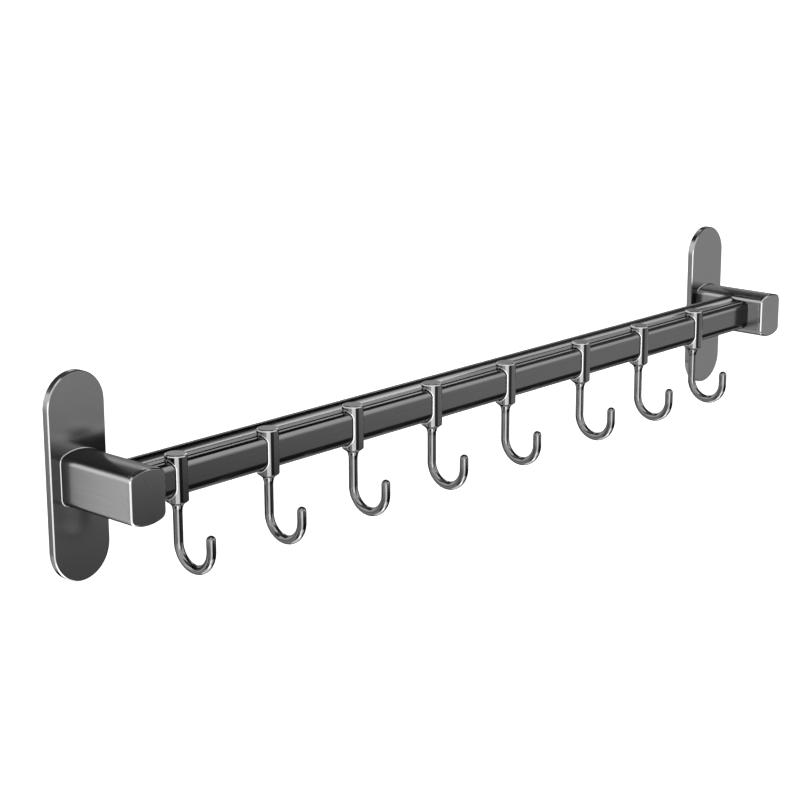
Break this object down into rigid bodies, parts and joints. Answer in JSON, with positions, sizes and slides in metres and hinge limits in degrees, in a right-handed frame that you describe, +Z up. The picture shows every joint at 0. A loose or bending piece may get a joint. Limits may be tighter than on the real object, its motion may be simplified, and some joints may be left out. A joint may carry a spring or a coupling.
{
  "type": "kitchen utensil rail",
  "caption": "Wall-mounted utensil rail: round-ended plates, arched arms, a slim stepped rail and sliding cast J hooks.",
  "frame": {"origin": "on the wall, midway between the two plates' middles", "axes": "+X along the rail to the right for someone facing the wall, +Y into the wall, +Z up"},
  "size_m": [0.5004, 0.0587, 0.0924],
  "materials": {
    "plate_metal": "gunmetal-grey anodised, satin",
    "arm_metal": "gunmetal-grey anodised, satin",
    "cap_metal": "gunmetal-grey anodised, satin, bright bevel",
    "rail_metal": "gunmetal-grey anodised, satin",
    "hook_metal": "polished black-nickel plating",
    "core_metal": "plain casting",
    "screw_steel": "zinc-plated",
    "foam": "closed-cell foam adhesive"
  },
  "bodies": {
    "wall_frame": {"rail": "rail_metal", "adhesive_pad_left": "foam", "wall_plate_left": "plate_metal", "arm_core_left": "core_metal", "arm_sleeve_left": "arm_metal", "end_cap_left": "cap_metal", "plate_screw_upper_left": "screw_steel", "plate_screw_lower_left": "screw_steel", "grub_screw_left": "screw_steel", "adhesive_pad_right": "foam", "wall_plate_right": "plate_metal", "arm_core_right": "core_metal", "arm_sleeve_right": "arm_metal", "end_cap_right": "cap_metal", "plate_screw_upper_right": "screw_steel", "plate_screw_lower_right": "screw_steel", "grub_screw_right": "screw_steel"},
    "hook_1": {"hook_1": "hook_metal"},
    "hook_2": {"hook_2": "hook_metal"},
    "hook_3": {"hook_3": "hook_metal"},
    "hook_4": {"hook_4": "hook_metal"},
    "hook_5": {"hook_5": "hook_metal"},
    "hook_6": {"hook_6": "hook_metal"},
    "hook_7": {"hook_7": "hook_metal"},
    "hook_8": {"hook_8": "hook_metal"}
  },
  "joints": [
    {"name": "hook_1_slide", "type": "slide", "parent": "wall_frame", "child": "hook_1", "axis": [1, 0, 0], "range_m": [-0.0113, 0.0215]},
    {"name": "hook_2_slide", "type": "slide", "parent": "wall_frame", "child": "hook_2", "axis": [1, 0, 0], "range_m": [-0.0215, 0.0218]},
    {"name": "hook_3_slide", "type": "slide", "parent": "wall_frame", "child": "hook_3", "axis": [1, 0, 0], "range_m": [-0.0218, 0.0222]},
    {"name": "hook_4_slide", "type": "slide", "parent": "wall_frame", "child": "hook_4", "axis": [1, 0, 0], "range_m": [-0.0222, 0.0226]},
    {"name": "hook_5_slide", "type": "slide", "parent": "wall_frame", "child": "hook_5", "axis": [1, 0, 0], "range_m": [-0.0226, 0.0254]},
    {"name": "hook_6_slide", "type": "slide", "parent": "wall_frame", "child": "hook_6", "axis": [1, 0, 0], "range_m": [-0.0254, 0.0206]},
    {"name": "hook_7_slide", "type": "slide", "parent": "wall_frame", "child": "hook_7", "axis": [1, 0, 0], "range_m": [-0.0206, 0.0205]},
    {"name": "hook_8_slide", "type": "slide", "parent": "wall_frame", "child": "hook_8", "axis": [1, 0, 0], "range_m": [-0.0205, 0.045]}
  ]
}
